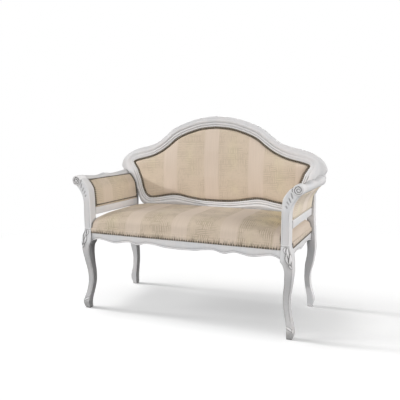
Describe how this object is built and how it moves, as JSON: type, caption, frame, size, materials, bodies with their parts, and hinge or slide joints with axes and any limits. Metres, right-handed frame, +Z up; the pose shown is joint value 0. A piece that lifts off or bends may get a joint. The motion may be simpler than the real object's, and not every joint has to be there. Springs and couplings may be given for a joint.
{
  "type": "two-seater sofa",
  "caption": "Upholstered two-seater settee with carved cabriole legs, scrolled arm posts, a camel-back crest and nailed trim.",
  "frame": {"origin": "on the floor, under the middle of the bounding box", "axes": "+X to the sitter's left, -Y out of the front, +Z up"},
  "size_m": [1.214, 0.5159, 1.008],
  "materials": {
    "painted_wood": "pale grey-white paint, worn in the carving",
    "bare_wood": "unpainted beech, hidden",
    "fabric": "cream and pale pink woven stripes",
    "nailed_trim": "close aged nails on gimp",
    "steel": "zinc plated",
    "webbing": "jute webbing",
    "dust_cloth": "thin black cambric"
  },
  "bodies": {
    "root": {"arm_board_left": "bare_wood", "arm_board_right": "bare_wood", "arm_lower_rail_left": "painted_wood", "arm_lower_rail_right": "painted_wood", "arm_pad_inner_left": "fabric", "arm_pad_inner_right": "fabric", "arm_pad_outer_left": "fabric", "arm_pad_outer_right": "fabric", "arm_top_rail_left": "painted_wood", "arm_top_rail_right": "painted_wood", "arm_trim_inner_left": "nailed_trim", "arm_trim_inner_right": "nailed_trim", "arm_trim_outer_left": "nailed_trim", "arm_trim_outer_right": "nailed_trim", "back_board": "bare_wood", "back_cover": "fabric", "back_lower_rail": "painted_wood", "back_nail_trim": "nailed_trim", "back_pad": "fabric", "corner_block_front_left": "bare_wood", "corner_block_front_right": "bare_wood", "corner_block_rear_left": "bare_wood", "corner_block_rear_right": "bare_wood", "crest_rail": "painted_wood", "dust_cover": "dust_cloth", "front_leg_left": "painted_wood", "front_leg_right": "painted_wood", "rear_leg_left": "painted_wood", "rear_leg_right": "painted_wood", "rear_nail_trim": "nailed_trim", "screw_front_left_a": "steel", "screw_front_left_b": "steel", "screw_front_right_a": "steel", "screw_front_right_b": "steel", "screw_rear_left_a": "steel", "screw_rear_left_b": "steel", "screw_rear_right_a": "steel", "screw_rear_right_b": "steel", "seat_pad": "fabric", "seat_rail_front": "painted_wood", "seat_rail_left": "painted_wood", "seat_rail_rear": "bare_wood", "seat_rail_right": "painted_wood", "seat_trim_front": "nailed_trim", "seat_trim_left": "nailed_trim", "seat_trim_right": "nailed_trim", "seat_webbing": "webbing"}
  },
  "joints": []
}
